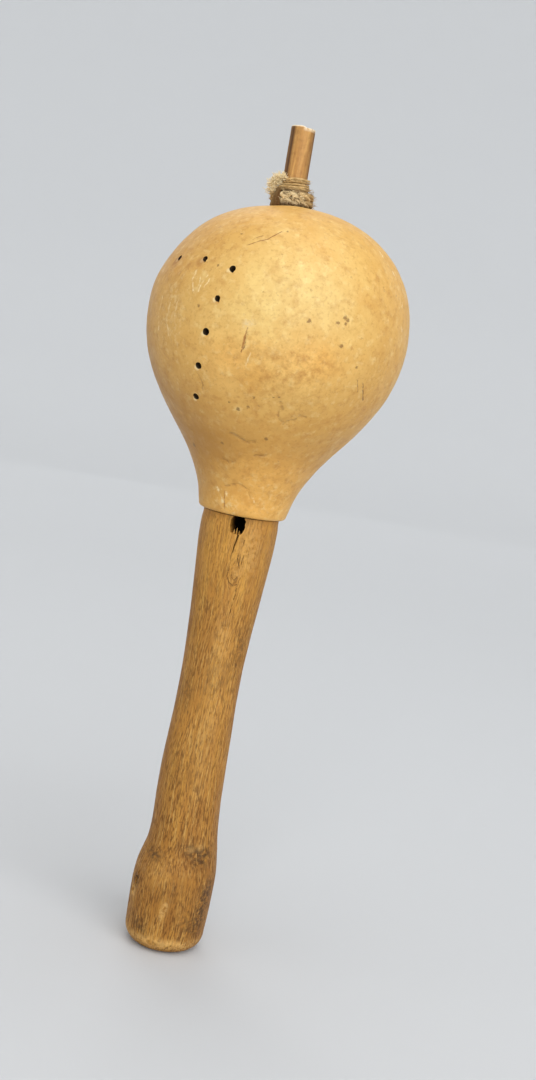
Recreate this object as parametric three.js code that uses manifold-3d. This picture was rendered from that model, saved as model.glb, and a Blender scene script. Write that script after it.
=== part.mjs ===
// A gourd rattle: a hollow gourd seated on the tenon of a carved handle, a spindle that runs from the handle
// through the gourd's crown, a cord lashed round the spindle's stub, and loose pebbles in the chamber.
// Millimetres, +Z up. The origin is the centre of the handle's flat butt, and the front faces -Y.
import * as THREE from 'three';
import { mergeVertices } from 'three/addons/utils/BufferGeometryUtils.js';
import Module from 'manifold-3d';

// Handle: radius and height of each station of its outline, from the butt up
const handleLength = 142;
const buttRadius = 12.9;
const buttRounding = 5.5;
const pommelRadius = 13.25;
const pommelHeight = 16;
const flareRadius = 13.0;
const flareHeight = 26;
const throatRadius = 11.0;
const throatHeight = 38;
const gripRadius = 10.5;
const gripHeight = 56;
const waistRadius = 9.7;
const waistHeight = 94;
const swellRadius = 12.1;
const swellDrop = 9;
const shoulderRadius = 12.0;

// Tenon, socket and peg hole at the handle's top
const tenonLength = 13;
const tenonChamfer = 1.0;
const socketDepth = 28;
const pegHoleRadius = 2.1;
const pegHoleDrop = 1.8;
const pegHoleDepth = 6.4;

// Gourd: heights are measured up from its rim
const gourdHeight = 96.9;
const bellyRadius = 40.7;
const bellyHeight = 60.2;
const crownFullness = 0.61;
const bellyDepth = 28;
const neckRadius = 16.2;
const neckHeight = 24.6;
const rimRadius = 14.0;
const lipRounding = 1.4;
const shellWall = 3.2;
const crownShift = 1.4;

// Sound holes: a level row round the gourd, and a row that falls from its first hole
const soundHoleRadius = 1.1;
const firstHoleAngle = -22;
const firstHoleHeight = 74;
const levelHoles = 3;
const levelHoleTurn = 16.5;
const fallingHoles = 4;
const fallingHoleDrop = 9.7;
const fallingHoleTurn = 3.3;

// Spindle: it leans to the left of the handle's axis
const spindleRadius = 3.8;
const spindleStub = 24;
const spindleLean = 1.4;
const spindleChamfer = 0.4;

// Lashing: one cord wound up the stub, thick for its first turns and thin above, with a frayed lower end
const cordFootRadius = 1.25;
const cordTopRadius = 0.4;
const cordThickTurns = 2;
const cordTurns = 3.4;
const cordTurnGap = 0.45;
const cordStartAngle = -35;
const frayReach = 3.4;
const frayRise = 8.5;
const frayLean = 0.6;
const frayTipRadius = 1.1;

// Pebbles: two rings of separate upright paths, so that none meets another on its way
const pebbleRadius = 2.6;
const pebbleSpread = 0.15;
const pebbleFlatness = 0.8;
const pebblePitch = 10.2;

// Clearances between pieces that touch
const fitGap = 0.3;
const pathGap = 0.6;

// Facets
const gourdSegments = 48;
const gourdDivisions = 12;
const handleSegments = 36;
const handleDivisions = 30;
const cornerDivisions = 4;
const holeSegments = 12;
const spindleSegments = 20;
const cordSides = 6;
const cordStepsPerTurn = 24;
const fraySteps = 10;
const weldDistance = 1e-4;
const searchStep = 0.05;

// Places and fits that follow from the sizes above
const rimHeight = handleLength + fitGap;
const crownHeight = rimHeight + gourdHeight;
const crownRise = gourdHeight - bellyHeight;
const tenonTop = handleLength + tenonLength;
const socketFloor = tenonTop - socketDepth;
const boreRadius = rimRadius - shellWall;
const tenonRadius = boreRadius - fitGap;
const socketRadius = spindleRadius + fitGap;
const throughWall = 6 * shellWall;
const zAxis = new THREE.Vector3(0, 0, 1);

// The spindle's leaning line starts on the socket's floor, and distances along it are measured from there
const leanAngle = THREE.MathUtils.degToRad(spindleLean);
const spindleWay = new THREE.Vector3(-Math.sin(leanAngle), 0, Math.cos(leanAngle));
const crownDistance = (crownHeight - socketFloor) / Math.cos(leanAngle);
const spindleLength = crownDistance + spindleStub;

const wasm = await Module();
wasm.setup();

// A closed geometry as a solid, with its shared points merged and its collapsed triangles dropped
function solidOf(geometry) {
  const bare = geometry.clone();
  bare.deleteAttribute('normal');
  bare.deleteAttribute('uv');
  const merged = mergeVertices(bare, weldDistance);
  const corners = merged.getIndex().array;
  const triangles = [];
  for (let i = 0; i < corners.length; i += 3) {
    const [a, b, c] = corners.slice(i, i + 3);
    if (a !== b && b !== c && c !== a) {
      triangles.push(a, b, c);
    }
  }
  return new wasm.Manifold(new wasm.Mesh({
    numProp: 3,
    vertProperties: Float32Array.from(merged.getAttribute('position').array),
    triVerts: Uint32Array.from(triangles),
  }));
}

function geometryOf(solid) {
  const mesh = solid.getMesh();
  const geometry = new THREE.BufferGeometry();
  geometry.setAttribute('position', new THREE.BufferAttribute(mesh.vertProperties, 3));
  geometry.setIndex(new THREE.BufferAttribute(mesh.triVerts, 1));
  geometry.computeVertexNormals();
  return geometry;
}

// A profile of radius and height turned round +Z
function turned(profile, segments) {
  return new THREE.LatheGeometry(profile, segments).rotateX(Math.PI / 2);
}

// A round cutter whose flats stand at the radius, centred on a point and lying along a direction
function drill(radius, length, centre, direction) {
  const corner = radius / Math.cos(Math.PI / holeSegments);
  const cutter = new THREE.CylinderGeometry(corner, corner, length, holeSegments);
  const upright = new THREE.Vector3(0, 1, 0);
  cutter.applyQuaternion(new THREE.Quaternion().setFromUnitVectors(upright, direction));
  cutter.translate(centre.x, centre.y, centre.z);
  return solidOf(cutter);
}

// The direction that leaves the axis at an angle from the front, positive to the right
function outwardAt(degrees) {
  const turn = THREE.MathUtils.degToRad(degrees);
  return new THREE.Vector3(Math.sin(turn), -Math.cos(turn), 0);
}

// A point of the spindle's leaning line
function spindlePoint(distance) {
  return new THREE.Vector3(0, 0, socketFloor).addScaledVector(spindleWay, distance);
}

// Gourd outline: a full crown and a belly drawn in to the neck, with the shell's inside set in from it
const crownCurve = new THREE.CubicBezierCurve(
  new THREE.Vector2(0, gourdHeight),
  new THREE.Vector2(bellyRadius * crownFullness, gourdHeight),
  new THREE.Vector2(bellyRadius, bellyHeight + crownRise * crownFullness),
  new THREE.Vector2(bellyRadius, bellyHeight),
);
const neckCurve = new THREE.CubicBezierCurve(
  new THREE.Vector2(bellyRadius, bellyHeight),
  new THREE.Vector2(bellyRadius, bellyHeight - bellyDepth),
  new THREE.Vector2(neckRadius, neckHeight),
  new THREE.Vector2(rimRadius, 0),
);

// Points from the crown to the rim on the outline, set inwards by a depth
function gourdOutline(depth) {
  const points = [];
  for (const curve of [crownCurve, neckCurve]) {
    for (let i = points.length ? 1 : 0; i <= gourdDivisions; i += 1) {
      const along = curve.getTangent(i / gourdDivisions);
      const inwards = new THREE.Vector2(along.y, -along.x);
      points.push(curve.getPoint(i / gourdDivisions).addScaledVector(inwards, depth));
    }
  }
  points[0].x = 0;
  return points;
}

// How far the gourd's crown stands to the right of its neck, at a height above the rim
function shiftAt(height) {
  const rise = Math.max(0, height - bellyHeight) / crownRise;
  return crownShift * rise * rise;
}

function gourdPiece() {
  const inner = gourdOutline(shellWall).slice(0, -1);
  const outer = gourdOutline(0).reverse();
  const profile = [...inner, new THREE.Vector2(boreRadius, 0)];
  for (let i = 0; i <= cornerDivisions; i += 1) {
    const turn = (Math.PI / 2) * (i / cornerDivisions - 1);
    profile.push(new THREE.Vector2(
      rimRadius - lipRounding + lipRounding * Math.cos(turn),
      lipRounding + lipRounding * Math.sin(turn),
    ));
  }
  profile.push(...outer.filter((point) => point.y > 2 * lipRounding));
  const shell = turned(profile, gourdSegments);
  const places = shell.getAttribute('position');
  for (let i = 0; i < places.count; i += 1) {
    places.setX(i, places.getX(i) + shiftAt(places.getZ(i)));
  }
  let solid = solidOf(shell.translate(0, 0, rimHeight));
  solid = solid.subtract(drill(socketRadius, throughWall, spindlePoint(crownDistance), spindleWay));
  for (const { angle, height } of soundHolePlaces()) {
    const { point, normal } = onGourd(angle, height);
    solid = solid.subtract(drill(soundHoleRadius, throughWall, point, normal));
  }
  return geometryOf(solid);
}

function soundHolePlaces() {
  const places = [];
  for (let i = 0; i < levelHoles; i += 1) {
    places.push({ angle: firstHoleAngle - levelHoleTurn * i, height: firstHoleHeight });
  }
  for (let i = 1; i <= fallingHoles; i += 1) {
    places.push({
      angle: firstHoleAngle - fallingHoleTurn * i,
      height: firstHoleHeight - fallingHoleDrop * i,
    });
  }
  return places;
}

// The gourd's outer surface at an angle from the front and a height above the rim
function onGourd(angle, height) {
  const line = gourdOutline(0);
  const i = line.findIndex((point) => point.y <= height);
  const [high, low] = [line[i - 1], line[i]];
  const share = (high.y - height) / (high.y - low.y);
  const radius = THREE.MathUtils.lerp(high.x, low.x, share);
  const side = outwardAt(angle);
  const point = side.clone().multiplyScalar(radius);
  point.x += shiftAt(height);
  point.z = rimHeight + height;
  const normal = side.multiplyScalar(high.y - low.y).addScaledVector(zAxis, low.x - high.x).normalize();
  return { point, normal };
}

function handlePiece() {
  const side = new THREE.SplineCurve([
    new THREE.Vector2(buttRadius, buttRounding),
    new THREE.Vector2(pommelRadius, pommelHeight),
    new THREE.Vector2(flareRadius, flareHeight),
    new THREE.Vector2(throatRadius, throatHeight),
    new THREE.Vector2(gripRadius, gripHeight),
    new THREE.Vector2(waistRadius, waistHeight),
    new THREE.Vector2(swellRadius, handleLength - swellDrop),
    new THREE.Vector2(shoulderRadius, handleLength),
  ]);
  const profile = [new THREE.Vector2(0, 0)];
  for (let i = 0; i < cornerDivisions; i += 1) {
    const turn = (Math.PI / 2) * (i / cornerDivisions - 1);
    profile.push(new THREE.Vector2(
      buttRadius - buttRounding + buttRounding * Math.cos(turn),
      buttRounding + buttRounding * Math.sin(turn),
    ));
  }
  profile.push(
    ...side.getPoints(handleDivisions),
    new THREE.Vector2(tenonRadius, handleLength),
    new THREE.Vector2(tenonRadius, tenonTop - tenonChamfer),
    new THREE.Vector2(tenonRadius - tenonChamfer, tenonTop),
    new THREE.Vector2(0, tenonTop),
  );
  const socket = drill(socketRadius, 2 * socketDepth, spindlePoint(socketDepth), spindleWay);
  const front = outwardAt(0);
  const pegHoleCentre = front.clone().multiplyScalar(shoulderRadius).setZ(handleLength - pegHoleDrop);
  const pegHole = drill(pegHoleRadius, 2 * pegHoleDepth, pegHoleCentre, front);
  return geometryOf(solidOf(turned(profile, handleSegments)).subtract(socket).subtract(pegHole));
}

// The spindle, in a frame that leans with it and has its origin on the socket's floor
function spindlePiece() {
  const profile = [
    new THREE.Vector2(0, fitGap),
    new THREE.Vector2(spindleRadius - spindleChamfer, fitGap),
    new THREE.Vector2(spindleRadius, fitGap + spindleChamfer),
    new THREE.Vector2(spindleRadius, spindleLength - spindleChamfer),
    new THREE.Vector2(spindleRadius - spindleChamfer, spindleLength),
    new THREE.Vector2(0, spindleLength),
  ];
  return geometryOf(solidOf(turned(profile, spindleSegments)));
}

// A closed tube through stations of a point and a radius, with its ends cut square
function taperedTube(stations, sides) {
  const last = stations.length - 1;
  const points = [];
  const triangles = [];
  let normal = zAxis.clone();
  stations.forEach(({ point, radius }, i) => {
    const before = stations[Math.max(i - 1, 0)].point;
    const after = stations[Math.min(i + 1, last)].point;
    const along = after.clone().sub(before).normalize();
    normal = normal.clone().addScaledVector(along, -normal.dot(along)).normalize();
    const across = along.clone().cross(normal);
    for (let s = 0; s < sides; s += 1) {
      const turn = (2 * Math.PI * s) / sides;
      const rim = point.clone().addScaledVector(normal, radius * Math.cos(turn));
      points.push(rim.addScaledVector(across, radius * Math.sin(turn)));
    }
  });
  const firstCentre = points.push(stations[0].point) - 1;
  const lastCentre = points.push(stations[last].point) - 1;
  for (let s = 0; s < sides; s += 1) {
    const next = (s + 1) % sides;
    triangles.push(firstCentre, next, s);
    triangles.push(lastCentre, last * sides + s, last * sides + next);
    for (let i = 0; i < last; i += 1) {
      const [a, b] = [i * sides + s, i * sides + next];
      triangles.push(a, b, b + sides, a, b + sides, a + sides);
    }
  }
  const geometry = new THREE.BufferGeometry().setFromPoints(points);
  geometry.setIndex(triangles);
  geometry.computeVertexNormals();
  return geometry;
}

// The distance along the spindle at which the crown is met, on one side of the spindle's line
function crownSeat(side, reach) {
  const place = spindlePoint(crownDistance).addScaledVector(side, reach);
  const fromPole = Math.hypot(place.x - crownShift, place.y);
  const line = gourdOutline(0);
  const i = line.findIndex((point) => point.x >= fromPole);
  const share = (fromPole - line[i - 1].x) / (line[i].x - line[i - 1].x);
  const drop = gourdHeight - THREE.MathUtils.lerp(line[i - 1].y, line[i].y, share);
  return crownDistance - drop - reach * side.x * Math.sin(leanAngle);
}

// The cord's radius after a number of turns from the crown
function cordRadius(turns) {
  const share = THREE.MathUtils.smoothstep(turns, cordThickTurns - 0.5, cordThickTurns + 0.5);
  return THREE.MathUtils.lerp(cordFootRadius, cordTopRadius, share);
}

// How far the cord climbs in a number of turns, paced by the thickness of the turn below
function cordClimb(turns) {
  let climb = 0;
  for (let i = 0; i < turns * cordStepsPerTurn; i += 1) {
    climb += (2 * cordRadius(i / cordStepsPerTurn - 0.5) + cordTurnGap) / cordStepsPerTurn;
  }
  return climb;
}

// The cord's centre and radius after a number of turns from the crown
function cordStation(turns) {
  const radius = cordRadius(turns);
  const side = outwardAt(cordStartAngle + 360 * turns);
  const seat = crownSeat(side, socketRadius + cordFootRadius) + fitGap + cordFootRadius;
  return { point: side.multiplyScalar(socketRadius + radius).setZ(seat + cordClimb(turns)), radius };
}

const winding = [];
for (let i = 0; i <= cordTurns * cordStepsPerTurn; i += 1) {
  winding.push(cordStation(i / cordStepsPerTurn));
}

// A straight end that leaves the winding at one of its stations, one tube diameter long
function straightEnd(station, neighbour) {
  const away = station.point.clone().sub(neighbour.point).normalize();
  const point = station.point.clone().addScaledVector(away, 2 * station.radius);
  return { point, radius: station.radius, away };
}
const lowerEnd = straightEnd(winding[0], winding[1]);
const upperEnd = straightEnd(winding.at(-1), winding.at(-2));

// The least gap between turns of the cord, measured on the points of its centre line
function leastTurnGap() {
  let least = Infinity;
  winding.forEach((a, i) => {
    for (const b of winding.slice(i + cordStepsPerTurn / 2)) {
      least = Math.min(least, a.point.distanceTo(b.point) - a.radius - b.radius);
    }
  });
  return least;
}
console.log(`lashing_cord: least gap to itself ${leastTurnGap().toFixed(2)} mm`);

function lashingPiece() {
  return taperedTube([lowerEnd, ...winding, upperEnd], cordSides);
}

// The frayed end starts square to the cord, runs on outwards, turns up beside the winding and leans in over it
function frayPiece() {
  const start = lowerEnd.point.clone().addScaledVector(lowerEnd.away, fitGap);
  const bend = start.clone().addScaledVector(lowerEnd.away, frayReach);
  const inwards = bend.clone().setZ(0).normalize().negate();
  const tip = bend.clone().addScaledVector(inwards, frayLean).addScaledVector(zAxis, frayRise);
  const route = new THREE.QuadraticBezierCurve3(start, bend, tip);
  const stations = [];
  for (let i = 0; i <= fraySteps; i += 1) {
    const t = i / fraySteps;
    stations.push({ point: route.getPoint(t), radius: THREE.MathUtils.lerp(cordFootRadius, frayTipRadius, t) });
  }
  return taperedTube(stations, cordSides);
}

// The chamber's wall and the tenon's top, as lines in the upright plane that faces one way from the axis
function chamberLines(side) {
  const wall = gourdOutline(shellWall).map((point) => {
    const reach = point.x + shiftAt(point.y) * side.x;
    return side.clone().multiplyScalar(reach).setZ(rimHeight + point.y);
  });
  const lines = wall.slice(1).map((point, i) => new THREE.Line3(wall[i], point));
  const tenonEdge = side.clone().multiplyScalar(tenonRadius).setZ(tenonTop);
  lines.push(new THREE.Line3(new THREE.Vector3(0, 0, tenonTop), tenonEdge));
  return lines;
}

// The least gap between a pebble at a place and the lines that it could touch
function pebbleGap(pebble, place, lines) {
  const unturned = pebble.quaternion.clone().invert();
  const gaps = lines.map((line) => {
    const way = line.closestPointToPoint(place, true, new THREE.Vector3()).sub(place);
    const distance = way.length();
    const halfDepth = way.normalize().applyQuaternion(unturned).multiply(pebble.scale).length();
    return distance - halfDepth * pebble.geometry.parameters.radius;
  });
  return Math.min(...gaps);
}

// Where a pebble stops when it moves from the belly's height, up or down in small steps
function stopPlace(pebble, side, reach, step) {
  const lines = chamberLines(side);
  const place = side.clone().multiplyScalar(reach).setZ(rimHeight + bellyHeight);
  const ahead = place.clone().setZ(place.z + step);
  while (pebbleGap(pebble, ahead, lines) >= fitGap) {
    place.copy(ahead);
    ahead.z += step;
  }
  return place;
}

function pebblePieces() {
  const widest = pebbleRadius * (1 + pebbleSpread);
  const spindleReach = Math.abs(spindlePoint(spindleLength).x) + spindleRadius;
  const pieces = [];
  for (const ring of [0, 1]) {
    const reach = spindleReach + pathGap + widest + ring * (2 * widest + pathGap);
    const count = Math.floor((2 * Math.PI * reach) / pebblePitch);
    for (let i = 0; i < count; i += 1) {
      const number = pieces.length + 1;
      const side = outwardAt((360 * (i + ring / 2)) / count);
      const radius = pebbleRadius * (1 + pebbleSpread * Math.sin(5 * number));
      const pebble = named(
        `pebble_${String(number).padStart(2, '0')}`,
        new THREE.IcosahedronGeometry(radius, 1),
        stone.clone(),
      );
      pebble.scale.set(1, (1 + pebbleFlatness) / 2, pebbleFlatness);
      pebble.rotation.set(number, 2 * number, 3 * number);
      const rest = stopPlace(pebble, side, reach, -searchStep);
      pebble.position.copy(rest);
      pebble.userData.travel = stopPlace(pebble, side, reach, searchStep).z - rest.z;
      pieces.push(pebble);
    }
  }
  return pieces;
}

// Finishes
const gourdSkin = new THREE.MeshStandardMaterial({ color: 0xd9a85c, roughness: 0.45, metalness: 0 });
const handleWood = new THREE.MeshStandardMaterial({ color: 0xa87436, roughness: 0.55, metalness: 0 });
const spindleWood = new THREE.MeshStandardMaterial({ color: 0xc48d48, roughness: 0.6, metalness: 0 });
const cordFibre = new THREE.MeshStandardMaterial({ color: 0xb59468, roughness: 0.95, metalness: 0 });
const stone = new THREE.MeshStandardMaterial({ color: 0x8b8378, roughness: 0.8, metalness: 0 });

function named(name, geometry, material) {
  const mesh = new THREE.Mesh(geometry, material);
  mesh.name = name;
  return mesh;
}

const leaning = new THREE.Group();
leaning.position.set(0, 0, socketFloor);
leaning.rotation.y = -leanAngle;
leaning.add(
  named('spindle', spindlePiece(), spindleWood),
  named('lashing_cord', lashingPiece(), cordFibre),
  named('frayed_end', frayPiece(), cordFibre.clone()),
);

const rattle = new THREE.Group();
rattle.add(
  named('handle', handlePiece(), handleWood),
  named('gourd_shell', gourdPiece(), gourdSkin),
  leaning,
  ...pebblePieces(),
);

export default rattle;
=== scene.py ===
"""Looks of the gourd rattle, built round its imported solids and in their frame.

Sizes are written in millimetres and turned to metres where a mesh is made. The handle stands on Z with its
butt at the origin, and the front faces -Y. An angle is measured from the front, in degrees, positive to the
right.
"""
import math
import random

import bmesh
import bpy
import numpy as np
from mathutils import Matrix, Vector, noise


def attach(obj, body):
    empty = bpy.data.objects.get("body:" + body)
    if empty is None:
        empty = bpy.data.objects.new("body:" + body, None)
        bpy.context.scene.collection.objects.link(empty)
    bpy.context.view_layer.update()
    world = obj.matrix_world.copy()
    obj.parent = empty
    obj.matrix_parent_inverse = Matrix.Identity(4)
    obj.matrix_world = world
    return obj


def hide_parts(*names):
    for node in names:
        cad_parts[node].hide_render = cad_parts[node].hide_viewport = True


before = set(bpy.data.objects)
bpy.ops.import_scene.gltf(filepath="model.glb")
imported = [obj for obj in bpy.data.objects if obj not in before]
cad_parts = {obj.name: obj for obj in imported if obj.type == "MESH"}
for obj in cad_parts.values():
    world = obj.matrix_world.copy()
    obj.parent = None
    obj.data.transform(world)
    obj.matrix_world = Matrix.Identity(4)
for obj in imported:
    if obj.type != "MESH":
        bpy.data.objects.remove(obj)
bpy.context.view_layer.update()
noise.seed_set(7)
MM = 0.001
UPWARDS = Vector((0, 0, 1))

# Sizes shared with the solids
RIM = 142.3
GOURD_HEIGHT = 96.9
BELLY_RADIUS, BELLY_HEIGHT, BELLY_DEPTH = 40.7, 60.2, 28.0
CROWN_FULLNESS, CROWN_SHIFT = 0.61, 1.4
NECK_RADIUS, NECK_HEIGHT = 16.2, 24.6
RIM_RADIUS, LIP_ROUNDING, SHELL_WALL = 14.0, 1.4, 3.2
HANDLE_LENGTH, BUTT_RADIUS, BUTT_ROUNDING = 142.0, 12.9, 5.5
HANDLE_STATIONS = [(12.9, 5.5), (13.25, 16), (13.0, 26), (11.0, 38), (10.5, 56), (9.7, 94), (12.1, 133),
                   (12.0, 142)]
SHOULDER_RADIUS = HANDLE_STATIONS[-1][0]
TENON_RADIUS, TENON_TOP, TENON_CHAMFER = 10.5, 155.0, 1.0
PEG_HOLE_DEPTH = 6.4
SPINDLE_RADIUS, SPINDLE_FOOT, SPINDLE_STUB = 3.8, 127.0, 24.0
SPINDLE_LEAN = math.radians(1.4)
FIT_GAP = 0.3
CROWN_DISTANCE = (RIM + GOURD_HEIGHT - SPINDLE_FOOT) / math.cos(SPINDLE_LEAN)
SPINDLE_LENGTH = CROWN_DISTANCE + SPINDLE_STUB
SOCKET_RADIUS = SPINDLE_RADIUS + FIT_GAP
CORD_FOOT_RADIUS, CORD_TOP_RADIUS = 1.25, 0.4
CORD_THICK_TURNS, CORD_TURNS, CORD_START = 2, 3.4, -35
LEANING = Matrix.Translation((0, 0, SPINDLE_FOOT)) @ Matrix.Rotation(-SPINDLE_LEAN, 4, "Y")

# Sound holes, drilled by eye: angle, height above the rim and radius, in a row of three and a row that falls
SOUND_HOLES = [(-22.7, 73.0, 1.0), (-38.7, 74.8, 0.85), (-57.9, 74.4, 0.9), (-25.3, 63.9, 0.9),
               (-28.0, 54.1, 1.08), (-31.2, 44.2, 1.05), (-35.4, 35.2, 1.05)]
# Each widens outwards, is painted dark with shade from a depth on, and has a chip under its middle, set out
# and swayed a little
HOLE_TAPER, DRILL_LENGTH, HOLE_SHADE_FROM = (0.9, 1.08), 14, 0.7
CHIP_RADIUS, CHIP_DROP, CHIP_OUT, CHIP_SWAY = 0.66, 0.85, 0.22, 0.35

# Outline details finer than the solids: a higher joint line, a flatter left of the gourd (depth, degrees
# across, height and spread up), a lower left of its crown, a bent handle, a saw step and a squarer peg hole
RIM_LIFT, RIM_LIFT_REACH = 1.2, 16
LEFT_ANGLE, FLAT_INWARD, FLAT_DOWN = -85, 0.8, 0.6
LEFT_FLATS = [(1.2, 48, 79, 10), (0.5, 44, 56, 15)]
CROWN_DIP, CROWN_DIP_REACH = 0.5, 11
HANDLE_BEND = [(0, 0.35), (20, 0.4), (27, 0.6), (34, 0.95), (41, 0.6), (50, 0.15), (60, 0), (142, 0)]
SAW_STEP = 0.4
PEG_HOLE_HEIGHT, PEG_HOLE_ASIDE = 140.9, -0.35
PEG_HOLE_HALF_WIDTH, PEG_HOLE_HALF_HEIGHT = 2.35, 3.0
PEG_HOLE_RAGGED, PEG_HOLE_SLANT = 0.16, Vector((1.5, 0, 0.4))


def outward(angle):
    """The level direction that leaves the axis at an angle from the front."""
    turn = math.radians(angle)
    return Vector((math.sin(turn), -math.cos(turn), 0))


def unit(value):
    """A number kept between nothing and one."""
    return min(1, max(0, value))


def eased(value):
    """A share of the way that starts and stops gently."""
    share = unit(value)
    return share * share * (3 - 2 * share)


# Gourd outline
def bezier(points, t):
    a, b, c, d = (Vector(p) for p in points)
    return a * (1 - t) ** 3 + b * (3 * t * (1 - t) ** 2) + c * (3 * t * t * (1 - t)) + d * t**3


def gourd_outline(depth, steps):
    """Radius and height above the rim from the crown to the rim, set inwards by a depth."""
    rise = GOURD_HEIGHT - BELLY_HEIGHT
    crown = [(0, GOURD_HEIGHT), (BELLY_RADIUS * CROWN_FULLNESS, GOURD_HEIGHT),
             (BELLY_RADIUS, BELLY_HEIGHT + rise * CROWN_FULLNESS), (BELLY_RADIUS, BELLY_HEIGHT)]
    neck = [(BELLY_RADIUS, BELLY_HEIGHT), (BELLY_RADIUS, BELLY_HEIGHT - BELLY_DEPTH),
            (NECK_RADIUS, NECK_HEIGHT), (RIM_RADIUS, 0)]
    line = [bezier(crown, i / steps) for i in range(steps)]
    line += [bezier(neck, i / steps) for i in range(steps + 1)]
    inner = []
    for i, point in enumerate(line):
        along = (line[min(i + 1, len(line) - 1)] - line[max(i - 1, 0)]).normalized()
        inner.append(point + Vector((along.y, -along.x)) * depth)
    inner[0].x = 0
    return inner


OUTER_LINE = gourd_outline(0, 200)


def crown_rise(height):
    """The square of the share of the rise from belly to crown, at a height above the rim."""
    return (max(0.0, height - BELLY_HEIGHT) / (GOURD_HEIGHT - BELLY_HEIGHT)) ** 2


def crown_shift(height):
    """How far the crown stands to the right of the neck, at a height above the rim."""
    return CROWN_SHIFT * crown_rise(height)


def left_flat(angle, height):
    """How much the left of the gourd is flattened, most above the belly, at a height above the rim."""
    aside = (angle - LEFT_ANGLE + 180) % 360 - 180
    return sum(depth * math.exp(-(aside / across) ** 2 - ((height - middle) / up) ** 2)
               for depth, across, middle, up in LEFT_FLATS)


def crown_dip(x, height):
    """How much lower the crown lies to the left of the spindle, at a height above the rim."""
    return CROWN_DIP * eased(-x / CROWN_DIP_REACH) * crown_rise(height)


def on_gourd(angle, height):
    """A point of the gourd's outer surface and the way out of it there."""
    i = next(i for i, point in enumerate(OUTER_LINE) if point.y <= height)
    high, low = OUTER_LINE[i - 1], OUTER_LINE[i]
    share = (high.y - height) / (high.y - low.y)
    side = outward(angle)
    point = side * (high.x + (low.x - high.x) * share)
    point.x += crown_shift(height)
    point.z = RIM + height
    way = (side * (high.y - low.y) + UPWARDS * (low.x - high.x)).normalized()
    return point - way * left_flat(angle, height), way


# Handle outline
def handle_outline(steps):
    """Radius and height up the handle's side, on a smooth line through its stations."""
    points = [Vector(p) for p in HANDLE_STATIONS]
    line = []
    for i in range(len(points) - 1):
        before, here = points[max(i - 1, 0)], points[i]
        there, after = points[i + 1], points[min(i + 2, len(points) - 1)]
        v0, v1 = (there - before) / 2, (after - here) / 2
        count = max(4, round(steps * (there.y - here.y) / HANDLE_LENGTH))
        for k in range(count):
            t = k / count
            place = (here - there) * (2 * t**3 - 3 * t * t) + v0 * (t**3 - 2 * t * t + t)
            line.append(place + v1 * (t**3 - t * t) + here)
    return line + [points[-1]]


HANDLE_LINE = handle_outline(200)


def handle_bend(height):
    """How far the handle's middle stands to the right, at a height."""
    return float(np.interp(height, *zip(*HANDLE_BEND)))


def on_handle(angle, height):
    radius = np.interp(height, [p.y for p in HANDLE_LINE], [p.x for p in HANDLE_LINE])
    return outward(angle) * float(radius) + Vector((handle_bend(height), 0, height))


def on_rattle(angle, height):
    """A point of the outside at an angle and a height above the butt."""
    return on_gourd(angle, height - RIM)[0] if height > RIM else on_handle(angle, height)


# Marks on the gourd: half width and a line of (angle, height above the butt)
GOURD_SCRATCHES = [
    (0.2, [(-9.7, 198.8), (-10.1, 195.6), (-10.6, 193.2)]), (0.34, [(46.9, 190.2), (52.4, 185.6)]),
    (0.22, [(42.3, 191), (46.1, 187.7)]), (0.2, [(140, 226), (147, 224), (151, 220)]),
    (0.22, [(-118, 208), (-113, 201), (-112, 196)]), (0.2, [(96, 188), (101, 183)]),
]
# Cuts, which run unbroken: the slit on the front, two scratches near the crown and a crack at the rim
GOURD_CUTS = [
    (0.26, [(-10.3, 199.5), (-10.5, 198.4)]), (0.4, [(-10.5, 198.4), (-10.7, 197)]),
    (0.56, [(-10.7, 197), (-10.95, 195)]), (0.44, [(-10.95, 195), (-11.1, 193.8)]),
    (0.26, [(-11.1, 193.8), (-11.3, 192.6)]),
    (0.2, [(-20.6, 222.9), (-16.8, 224.3), (-12.4, 225.5), (-9, 227.4), (-7.2, 228.4)]),
    (0.16, [(-19.9, 224.4), (-18.2, 225.5), (-15.5, 226.3)]), (0.26, [(-23.2, 150.4), (-22, 146.6)]),
    (0.4, [(-22, 146.6), (-20.8, 142.8)]),
]
GOURD_DENTS = [
    (0.75, [(-15.4, 168.6), (-10.5, 168), (-4.9, 166.8), (0.2, 167.4)]), (0.5, [(3.1, 163.3), (11.4, 164)]),
    (0.6, [(-23.6, 160.3), (-18, 159.8), (-12.5, 160.5)]),
    (0.6, [(9.7, 180.4), (11.2, 179.4), (11.6, 178.6), (10.2, 177.4), (10.4, 176.4), (13.4, 175)]),
    (0.55, [(14.6, 174.3), (15.5, 175.2), (19.6, 176), (21.7, 177.5), (24.7, 177.5)]),
    (0.34, [(0.4, 180.6), (2.8, 180.3)]), (0.3, [(-2.4, 178.9), (-0.3, 177.8)]),
    (0.34, [(27.6, 182.4), (26.6, 181.2)]),
    (0.22, [(-32.2, 184.2), (-30.4, 182.6), (-29.9, 181.2), (-30.8, 179.9)]),
    (0.45, [(-22.5, 152.1), (-8.1, 153.6), (3.2, 152.4), (7.2, 150)]),
]
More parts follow.
